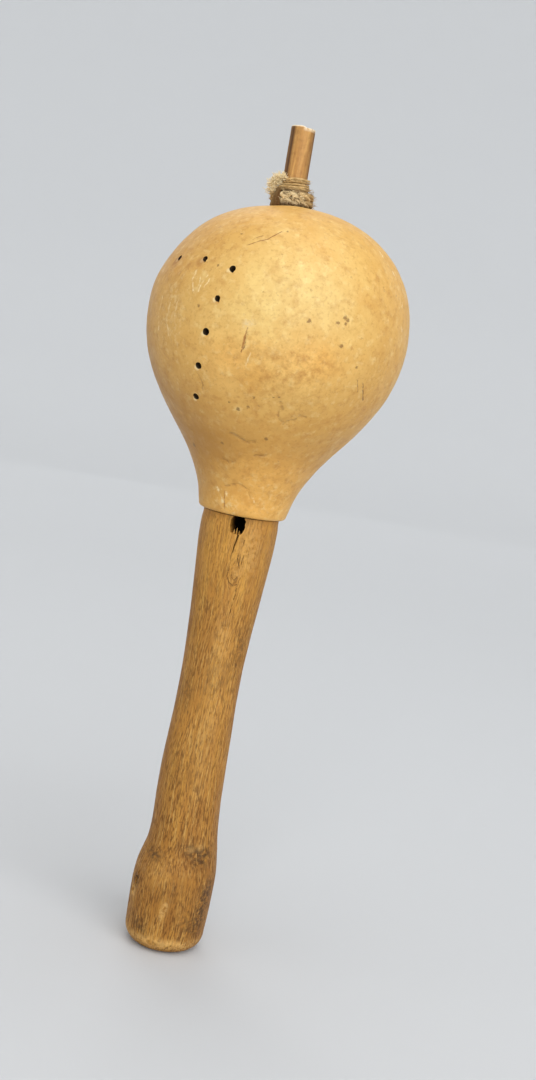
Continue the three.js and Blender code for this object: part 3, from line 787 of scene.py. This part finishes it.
def gourd_piece():
    """The hollow gourd, with its sound holes chipped at their lower edges and the crown's hole."""
    thing = piece("gourd", gourd_mesh())
    drills, chips = bmesh.new(), bmesh.new()
    chance = random.Random(5)
    for angle, height, radius in SOUND_HOLES:
        place, way = on_gourd(angle, height)
        radii = [radius * share for share in HOLE_TAPER]
        jagged(tapered(drills, 22, radii, DRILL_LENGTH, facing(place, way)), 0.7, 0.12)
        aside = Vector((CHIP_SWAY * chance.uniform(-1, 1), 0, -CHIP_DROP))
        lower = Matrix.Translation(place + aside + way * CHIP_OUT)
        scoop = bmesh.ops.create_icosphere(chips, subdivisions=2, radius=CHIP_RADIUS, matrix=lower)
        jagged(scoop["verts"], 0.5, 0.14)
    drill_socket(drills, CROWN_DISTANCE, 16)
    cut(thing, drills)
    cut(thing, chips)
    smooth(thing, 38)
    places = places_of(thing)
    for name, marks in GOURD_LAYERS.items():
        paint(thing, name, spots(places, marks))
    # Painted shadow on the crown round the lashing's foot
    contact_shade_reach, contact_shade_fade, contact_shade_depth = 8.1, 0.9, 6
    seat = LEANING @ (UPWARDS * CROWN_DISTANCE)
    from_stick = np.hypot(places[:, 0] - seat.x, places[:, 1] - seat.y)
    on_crown = places[:, 2] > seat.z - contact_shade_depth
    paint(thing, "grime_and_contact_shade", on_crown * (contact_shade_reach - from_stick) / contact_shade_fade)
    # The holes' walls are painted dark, as shade
    middles = places_of(thing, "polygons", "center")
    walls = np.zeros(len(middles))
    for angle, height, radius in SOUND_HOLES:
        place, way = on_gourd(angle, height)
        away = middles - np.array(place)
        depth = away @ np.array(way)
        aside = np.linalg.norm(away - np.outer(depth, way), axis=1)
        walls[(aside < radius * 1.2) & (depth < -HOLE_SHADE_FROM) & (depth > -2 * SHELL_WALL)] = 1
    paint(thing, "hole_shade", walls, "FACE")
    return dressed(thing, gourd_skin())


def peg_hole(bm):
    """The cutter of the peg hole: square-shouldered, taller than wide and ragged at its lower edge."""
    middle = Vector((PEG_HOLE_ASIDE, -SHOULDER_RADIUS, PEG_HOLE_HEIGHT))
    for v in tapered(bm, 40, (1, 1), 2 * PEG_HOLE_DEPTH, facing(middle, outward(0))):
        away = v.co - middle
        turn = math.atan2(away.z, away.x)
        level, up = math.cos(turn), math.sin(turn)
        square = (abs(level) ** 3 + abs(up) ** 3) ** (-1 / 3)
        reach = square * (1 + PEG_HOLE_RAGGED * noise.noise(Vector((3 * level, 3 * up, 0))))
        x, z = PEG_HOLE_HALF_WIDTH * reach * level, PEG_HOLE_HALF_HEIGHT * reach * up
        v.co = middle + Vector((x, away.y, z))
        # It was bored on the slant, so that its left wall shows
        v.co += PEG_HOLE_SLANT * (away.y / PEG_HOLE_DEPTH)


def handle_crack(bm):
    """The cutter of the crack that runs down from the peg hole: a thin line widened and pushed in."""
    # Angle, height and half width
    stations = [(3.2, 139.2, 0.34), (0.9, 135.8, 0.26), (-0.6, 133.9, 0.2), (-1.9, 131.4, 0.05)]
    proud, length = 1, 3.2
    left = []
    for angle, height, width in stations:
        place = on_handle(angle, height)
        left.append(bm.verts.new((place.x - width, place.y - proud, height)))
    edges = [bm.edges.new(pair) for pair in zip(left, left[1:])]
    wide = bmesh.ops.extrude_edge_only(bm, edges=edges)["geom"]
    right = sorted((v for v in wide if isinstance(v, bmesh.types.BMVert)), key=lambda v: -v.co.z)
    for v, (angle, height, width) in zip(right, stations):
        v.co.x += 2 * width
    faces = [f for f in wide if isinstance(f, bmesh.types.BMFace)]
    deep = bmesh.ops.extrude_face_region(bm, geom=faces)["geom"]
    ends = [v for v in deep if isinstance(v, bmesh.types.BMVert)]
    bmesh.ops.translate(bm, vec=(0, length, 0), verts=ends)
    bmesh.ops.recalc_face_normals(bm, faces=bm.faces)


def handle_mesh():
    """The handle with its tenon, slightly uneven from carving and bent above the pommel."""
    shoulder = HANDLE_LENGTH + RIM_LIFT
    face = [(0, 0), (2.5, 0), (5, 0)]
    foot = rounding(BUTT_RADIUS, BUTT_ROUNDING, 10, 10)
    top = [(SHOULDER_RADIUS, shoulder), (TENON_RADIUS, shoulder), (TENON_RADIUS, TENON_TOP - TENON_CHAMFER),
           (TENON_RADIUS - TENON_CHAMFER, TENON_TOP), (0, TENON_TOP)]
    bm = spun(face + foot + HANDLE_LINE + top, 150)

    def carved_swell(place):
        along = Vector((place.x, place.y, place.z * 0.35))
        swell = 0.18 * noise.noise(along / 9) + 0.07 * noise.noise(along / 3)
        return swell * unit(place.z / 5) * unit((HANDLE_LENGTH - place.z) / 4)

    roughened(bm, carved_swell)
    for v in bm.verts:
        v.co.x += handle_bend(v.co.z)
    return bm


def handle_piece():
    """The carved handle, with a ragged peg hole, the crack under it and three nicks near the butt."""
    thing = piece("handle_grip", handle_mesh())
    drills, crack = bmesh.new(), bmesh.new()
    peg_hole(drills)
    drill_socket(drills, 28, 56)
    cut(thing, drills)
    handle_crack(crack)
    for (angle, height), (across, deep, up) in HANDLE_NICKS:
        turn = facing(on_handle(angle, height) + outward(angle) * 0.15, outward(angle))
        chip = bmesh.ops.create_icosphere(crack, subdivisions=2, radius=1,
                                          matrix=turn @ Matrix.Diagonal((across, up, deep, 1)))
        jagged(chip["verts"], 0.8, 0.22)
    cut(thing, crack)
    smooth(thing, 34)

    places = places_of(thing)
    for name, marks in HANDLE_LAYERS.items():
        paint(thing, name, spots(places, marks))
    paint(thing, "coarse", np.interp(places[:, 2], *zip(*HANDLE_COARSE)))
    in_hole = (np.abs(places - PEG_WALL_MIDDLE) < PEG_WALL_REACH).all(axis=1)
    from_axis = np.hypot(places[:, 0], places[:, 1])
    paint(thing, "stain", in_hole * (STAIN_FROM - from_axis) / STAIN_OVER)
    paint(thing, "hole_shade", in_hole * (PEG_SHADE_FROM - from_axis) / PEG_SHADE_OVER)
    # The grain wanders, and runs round a small knot under the peg hole
    away = (places - np.array(on_handle(*KNOT))) / KNOT_REACH
    push = np.exp(-(away**2).sum(axis=1))
    bent = places.copy()
    bent[:, 0] -= KNOT_PUSH * push * np.tanh(3 * away[:, 0])
    bent[:, 0] += [GRAIN_SWAY * noise.noise(Vector(place)) for place in places / GRAIN_SWELLS]
    keep_grain(thing, bent)
    return dressed(thing, handle_wood())


def splinter_piece():
    """Splinters left standing on the peg hole's lower edge."""
    bm = bmesh.new()
    for x, height, length, width in SPLINTERS:
        middle = Vector((x, SPLINTER_FRONT, height)) + UPWARDS * (length / 2 - SPLINTER_ROOT)
        tapered(bm, 6, (width, SPLINTER_TIP), length, Matrix.Translation(middle))
    thing = piece("splinters", bm)
    places = places_of(thing)
    paint(thing, "pale", np.ones(len(places)))
    keep_grain(thing, places)
    return dressed(thing, bpy.data.materials["hand_worn_hardwood"])


def along_stick(thing):
    """A piece's points in the spindle's leaning frame, with heights from its foot, and angles round it."""
    places = places_of(thing)
    local = (np.linalg.inv(np.array(LEANING)) @ np.c_[places, np.ones(len(places))].T).T
    return local, np.degrees(np.arctan2(local[:, 0], -local[:, 1]))


def saw_drop(x):
    """How much lower the sawn end lies, at a distance to the right of its middle."""
    return SAW_STEP / (1 + np.exp(-6 * (x - 0.6)))


def spindle_piece():
    """The round stick, with its sawn end a little bulged and its edge broken."""
    radius, end = SPINDLE_RADIUS, SPINDLE_LENGTH
    foot, chamfer, edge, steps = 0.3, 0.4, 0.6, 120
    low, high = foot + chamfer, end - edge
    profile = [(0, foot), (radius - chamfer, foot), (radius, low)]
    profile += [(radius, low + (high - low) * i / steps) for i in range(1, steps + 1)]
    profile += [(radius - 0.06, end - 0.3), (radius - 0.28, end - 0.1)]
    profile += [(2.4, end - 0.04), (1.2, end), (0, end)]
    bm = spun(profile, 48)
    roughened(bm, lambda place: 0.08 * noise.noise(Vector((place.x, place.y, place.z * 0.12)) / 1.6) - 0.04)
    for v in bm.verts:
        if v.co.z > end - 0.5:
            v.co.z -= saw_drop(v.co.x)
    bm.transform(LEANING)
    thing = piece("spindle_stick", bm)
    smooth(thing, 50)
    local, angle = along_stick(thing)
    # Bark and painted shade: strength, angle and width of each strip; the two broad strips at the sides are
    # painted shade
    strips = [(1.6, -50, 4.5), (0.6, 128, 10), (0.8, 76, 36), (0.75, -60, 30)]
    paint(thing, "bark_and_shade", sum(strength * bell(angle, middle, width) for strength, middle, width in strips))
    paint(thing, "sawn", (local[:, 2] - high + saw_drop(local[:, 0])) / 0.25)
    return dressed(thing, spindle_wood())


# Lashing, in the spindle's leaning frame with heights from the foot of the spindle
STRANDS, YARNS, STEPS_PER_TURN, TUBE_SIDES = 3, 6, 144, 4
WINDING_PITCH, TAIL_TURNS = 2.1, 0.6
# Twists of the cord and of a strand in one turn round the stub, and the gap of strands that lie side by side
CORD_TWIST, STRAND_TWIST, STRAND_GAP = 3.3, 9.3, 0.76


def crown_seat(side, reach):
    """The distance along the spindle at which the crown is met, on one side of the spindle's line."""
    place = LEANING @ (UPWARDS * CROWN_DISTANCE) + side * reach
    from_pole = math.hypot(place.x - CROWN_SHIFT, place.y)
    i = next(i for i, point in enumerate(OUTER_LINE) if point.x >= from_pole)
    high, low = OUTER_LINE[i - 1], OUTER_LINE[i]
    drop = GOURD_HEIGHT - (high.y + (low.y - high.y) * (from_pole - high.x) / (low.x - high.x))
    return CROWN_DISTANCE - drop - crown_dip(place.x, GOURD_HEIGHT) - reach * side.x * math.sin(SPINDLE_LEAN)


def thinning(turns):
    """How far the cord has gone from its thick turns to its thin ones."""
    return eased(turns - CORD_THICK_TURNS + 0.5)


def tubes(name, routes, tints):
    """One mesh of thin yarns, each along stations of a point and a radius, with a tint for each yarn."""
    line = bpy.data.curves.new(name, "CURVE")
    line.dimensions, line.bevel_depth, line.bevel_resolution = "3D", 1.0, 0
    for route in routes:
        spline = line.splines.new("POLY")
        spline.points.add(len(route) - 1)
        for station, (place, radius) in zip(spline.points, route):
            station.co = (*(LEANING @ place * MM), 1)
            station.radius = radius * MM
    guide = added(name + "_guide", line)
    mesh = made_mesh(guide)
    bpy.data.objects.remove(guide)
    bm = bmesh.new()
    bm.from_mesh(mesh)
    bmesh.ops.holes_fill(bm, edges=bm.edges, sides=TUBE_SIDES)
    bm.to_mesh(mesh)
    bm.free()
    thing = added(name, mesh)
    mesh.shade_smooth()
    paint(thing, "tint", np.repeat(tints, [TUBE_SIDES * len(route) for route in routes]))
    return thing


def tossed(chance, spread):
    """A way drawn by chance."""
    return Vector([chance.gauss(0, spread) for axis in range(3)])


def bowed(start, bend, end, t):
    """A point of a line that bows towards a bend."""
    return start * (1 - t) ** 2 + bend * (2 * t * (1 - t)) + end * t * t


def hair(chance, start, way, length, radius, curl):
    """A fibre that leaves a point along a way and wanders."""
    route = []
    place, way = start.copy(), way.normalized()
    for i in range(5):
        route.append((place.copy(), radius * (1 - 0.17 * i)))
        way = (way + tossed(chance, curl)).normalized()
        place += way * (length / 4)
    return route


def winding(turns):
    """The cord's centre, radius and way out: level in front and climbing behind, from a thin tucked tail."""
    radius = CORD_FOOT_RADIUS + (CORD_TOP_RADIUS - CORD_FOOT_RADIUS) * thinning(max(0, turns))
    radius *= min(1.08, 1.08 + 1.1 * turns)
    side = outward(CORD_START + 360 * turns)
    front = turns + CORD_START / 360
    climb = WINDING_PITCH * max(0, front - 0.14 * math.sin(math.tau * front))
    seat = crown_seat(side, SOCKET_RADIUS + radius) + (radius if turns < 0 else CORD_FOOT_RADIUS) - 0.2
    return side * (SOCKET_RADIUS + radius) + UPWARDS * (seat + climb), radius, side


def cord_yarns():
    """Three strands of six yarns, twisted and wound up the stub: bulky at the foot, side by side above."""
    count = round((CORD_TURNS + TAIL_TURNS) * STEPS_PER_TURN)
    for strand in range(STRANDS):
        for yarn in range(YARNS):
            route = []
            for i in range(count + 1):
                turns = i / STEPS_PER_TURN - TAIL_TURNS
                centre, radius, side = winding(turns)
                thin = thinning(turns)
                waver = noise.noise(Vector((turns * 4.3, 7 * strand, 0)))
                lay = math.tau * (strand / STRANDS - turns * CORD_TWIST)
                twist = math.tau * (yarn / YARNS + turns * STRAND_TWIST)
                spread = radius * (0.55 + 0.08 * noise.noise(Vector((turns * 6, 3 * strand, 0))))
                coil = 0.6 * spread + 0.08 * thin
                out = (1 - thin) * (spread * math.cos(lay) + 0.2 * waver) + coil * math.cos(twist)
                up = (1 - thin) * spread * math.sin(lay) + coil * math.sin(twist)
                up += thin * (STRAND_GAP * (strand - 1) + 0.3 * waver)
                out = max(out - 0.2 * thin, -1.02 * radius)
                fading = min(1, 6 * (CORD_TURNS - turns) + 0.3)
                route.append((centre + side * out + UPWARDS * up, (0.21 * radius + 0.06 * thin) * fading))
            yield route


def brown_strand():
    """The cord's lower end: brown and smooth, fanned out at the left front and drawn up under the wraps."""
    steps, yarns = 30, 12
    foot_reach, top_reach, top_height = 7.3, 6.2, 4.5
    for yarn in range(yarns):
        share = yarn / (yarns - 1)
        low, high = outward(-56 + 27 * share), outward(-47 + 9 * share)
        foot = low * foot_reach + UPWARDS * (crown_seat(low, foot_reach) + 0.2)
        top = high * top_reach + UPWARDS * (CROWN_DISTANCE + top_height)
        bend = (foot + top) / 2 + outward(-50) * (0.5 + 0.6 * math.sin(math.pi * share))
        places = [bowed(foot, bend, top, i / steps) for i in range(steps + 1)]
        yield [(place, 0.42 - 0.2 * i / steps + 0.04 * noise.noise(place * 1.5))
               for i, place in enumerate(places)]


def woolly(chance):
    """Curly fibres teased out of the front of the winding, drawn about 0.35 mm thick so that they show."""
    for k in range(430):
        side = outward(chance.uniform(-33, 38))
        height = chance.uniform(0.1, 4.3)
        root = side * (6.55 - 0.09 * height) + UPWARDS * (crown_seat(side, 6.5) + height)
        way = Vector((chance.gauss(0, 1), chance.gauss(0, 0.5), chance.gauss(0, 0.8)))
        yield hair(chance, root, way, chance.uniform(0.8, 1.8), chance.uniform(0.12, 0.21), 0.8)


def stray_hairs(chance):
    """Fine fibres that lift off the winding."""
    for k in range(420):
        centre, radius, side = winding((CORD_TURNS - 0.1) * chance.random() ** 1.25)
        turn = chance.uniform(-0.6, 1.4)
        skin = side * math.cos(turn) + UPWARDS * math.sin(turn)
        along = Vector((-side.y, side.x, 0)) * chance.choice((-1, 1))
        way = skin * chance.uniform(0.1, 0.6) + along + UPWARDS * chance.gauss(0, 0.4)
        yield hair(chance, centre + skin * radius * 1.05, way, chance.uniform(0.9, 2.4), 0.06, 0.3)


def lashing_piece():
    """The cord wound up the stub, with its brown lower end, woolly front and stray fibres."""
    chance = random.Random(11)
    families = (cord_yarns(), brown_strand(), woolly(chance), stray_hairs(chance))
    wound, brown, wool, strays = (list(yarns) for yarns in families)
    tints = [0.45 * chance.random() for route in wound + brown]
    # Wool lies in pale and dark clumps of about a millimetre
    tints += [unit(0.16 + 2.6 * noise.noise(route[0][0] * 1.3)) for route in wool]
    tints += [chance.choice((0, 0.2, 0.6)) for route in strays]
    thing = tubes("lashing", wound + brown + wool + strays, tints)
    local, angle = along_stick(thing)
    height = local[:, 2] - CROWN_DISTANCE
    # Painted shade: grooves, which lie nearer to the stick than the cord's outside at their height, are
    # darkened, and so is the wool the deeper it lies
    outside = np.interp(height, [0, 4.2, 5.0, 9], [6.6, 6.5, 4.95, 4.8])
    from_stick = np.hypot(local[:, 0], local[:, 1])
    groove = np.clip((outside - 0.3 - from_stick) / 0.8, 0, 1)
    deep = 0.8 * np.clip((6.6 - from_stick) / 0.5, 0, 1)
    # Points stand in the order of their yarns, so that each kind of yarn is one run of them
    counts = [TUBE_SIDES * sum(len(route) for route in kind) for kind in (wound, brown, wool, strays)]
    kinds = np.repeat([0, 1, 2, 3], counts)
    smooth_brown, teased = kinds == 1, kinds == 2
    low = np.clip((4.9 - height) / 1.5, 0, 1)
    behind = (np.abs(angle) > 100) * 0.6
    fluffed = low * np.maximum(0.1 + 0.8 * bell(angle, -8, 36), behind)
    paint(thing, "fluffed", np.select([smooth_brown, teased], [0.0, 0.8], fluffed))
    # Painted shadow along the cord's foot and under the thin wraps, and painted shade on its right side; the
    # brown lower end is dark itself and darker on its right with painted shade
    under = 0.9 * bell(height, -0.3, 0.7)
    fan = np.clip((angle + 60) / 24, 0, 1)
    dirt_and_shade = 0.75 * groove + under + 0.3 * bell(height, 4.7, 0.6) + 0.4 * bell(angle, 80, 26)
    paint(thing, "dirt_and_shade", np.select([smooth_brown, teased], [0.62 + 0.38 * fan, deep + under], dirt_and_shade))
    return dressed(thing, cord_fibre())


def frayed_piece():
    """The cord's loose end, teased out into a woolly tuft that leans up beside the winding to the spindle."""
    chance = random.Random(23)
    foot, bend, tip = (Vector(place) + UPWARDS * CROWN_DISTANCE for place in FRAY_LINE)
    routes = []
    for k in range(520):
        spread = tossed(chance, 1)
        t = chance.random()
        root = bowed(foot, bend, tip, t) + spread * (0.22 + 0.5 * math.sin(math.pi * t) ** 0.7)
        way = spread * 0.6 + UPWARDS * 0.7 + Vector((0.3, 0, 0))
        routes.append(hair(chance, root, way, chance.uniform(0.7, 1.3) + t, chance.uniform(0.09, 0.15), 0.6))
    thing = tubes("frayed_tuft", routes, [0.07 * chance.random() for route in routes])
    # Its root is a little dirty and its tip clean
    clean_from, clean_over = 240.5, 3
    rise = np.clip((places_of(thing)[:, 2] - clean_from) / clean_over, 0, 1)
    paint(thing, "fluffed", 0.85 + 0.15 * rise)
    paint(thing, "dirt_and_shade", 0.05 * (1 - rise))
    return dressed(thing, bpy.data.materials["twisted_plant_fibre"])


def pebble_piece(name, stone):
    """A worn stone in the place of its solid, with the solid's corners rounded and a few hollows."""
    bm = bmesh.new()
    bm.from_mesh(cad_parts[name].data)
    bmesh.ops.remove_doubles(bm, verts=bm.verts, dist=1e-6)
    bmesh.ops.scale(bm, vec=(1 / MM, 1 / MM, 1 / MM), verts=bm.verts)
    bmesh.ops.subdivide_edges(bm, edges=bm.edges, cuts=2, use_grid_fill=True)
    for k in range(4):
        bmesh.ops.smooth_vert(bm, verts=bm.verts, factor=0.5, use_axis_x=True, use_axis_y=True,
                              use_axis_z=True)
    roughened(bm, lambda place: 0.07 + 0.12 * noise.noise(place / 1.3))
    thing = piece(name + "_stone", bm)
    thing.data.shade_smooth()
    return dressed(thing, stone)


def stand_for(thing, node, body):
    """Sets a piece in the place of its solid, on a body."""
    if node:
        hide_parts(node)
    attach(thing, body)


# Camera, at the photo's angle: lens and place were fitted to the object's outline
RIGHT, UP = (0.98198839, 0.02302615, 0.18753292), (-0.18894126, 0.11967428, 0.9746688)
BACKWARD = (0.0, -0.99254615, 0.12186934)
CAMERA_PLACE = Vector((9.74, -439.29, 190.44))
SENSOR, FOCAL_PIXELS, FRAME_PIXELS = 36, 1400, 1080
lens = bpy.data.cameras.new("camera")
lens.lens, lens.sensor_width, lens.clip_start = SENSOR * FOCAL_PIXELS / FRAME_PIXELS, SENSOR, 0.01
camera = added("camera", lens)
turned = Matrix((RIGHT, UP, BACKWARD)).transposed().to_4x4()
camera.matrix_world = Matrix.Translation(CAMERA_PLACE * MM) @ turned
bpy.context.scene.camera = camera
bpy.context.scene.view_settings.view_transform = "Standard"

# The assembly
stand_for(gourd_piece(), "gourd_shell", "rattle")
stand_for(handle_piece(), "handle", "rattle")
stand_for(splinter_piece(), None, "rattle")
stand_for(spindle_piece(), "spindle", "rattle")
stand_for(lashing_piece(), "lashing_cord", "rattle")
stand_for(frayed_piece(), "frayed_end", "rattle")
stone = river_stone()
for node in sorted(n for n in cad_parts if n.startswith("pebble_")):
    stand_for(pebble_piece(node, stone), node, node)

# Stage: a pale paper floor that curves up all round; the raised part lets the lights outside it through
FLOOR_LINE = [(0, 0), (300, 0), (600, 0)]
SWEEP_LINE = [(600, 0), (850, 0), (1100, 12), (1300, 55), (1480, 150), (1630, 330), (1740, 650), (1800, 1100),
              (1800, 1600)]
paper = bpy.data.materials.new("floor_paper")
paper.use_nodes = True
paper_inputs = paper.node_tree.nodes["Principled BSDF"].inputs
paper_inputs["Base Color"].default_value = linear("#c8cacc")
paper_inputs["Roughness"].default_value = 0.9
for name, line in [("floor", FLOOR_LINE), ("floor_sweep", SWEEP_LINE)]:
    sheet = dressed(piece(name, spun(line, 96)), paper)
    sheet.data.shade_smooth()
    sheet.visible_shadow = name == "floor"

# Soft light: broad round sources aimed at the middle of the rattle, strongest from the front, up and to the
# right, each with its place and size in metres and its watts
LIGHT_AIM = Vector((0, 0, 0.17))
LIGHTS = [("front_light", (1.04, -2.47, 1.81), 4.2, 117), ("left_light", (-1.95, -1.43, 2.2), 3.1, 20),
          ("top_light", (0.15, -0.1, 1.75), 1.6, 9.5), ("back_light", (-0.78, 2.6, 2.07), 2.6, 27)]
for name, place, size, watts in LIGHTS:
    light = bpy.data.lights.new(name, "AREA")
    light.shape, light.size, light.energy = "DISK", size, watts
    lamp = added(name, light)
    lamp.matrix_world = facing(Vector(place), (Vector(place) - LIGHT_AIM).normalized())
    lamp.visible_camera = False
world = bpy.data.worlds.new("studio")
world.use_nodes = True
sky = world.node_tree.nodes["Background"].inputs
sky["Color"].default_value = linear("#e8e8e6")
sky["Strength"].default_value = 0.12
bpy.context.scene.world = world
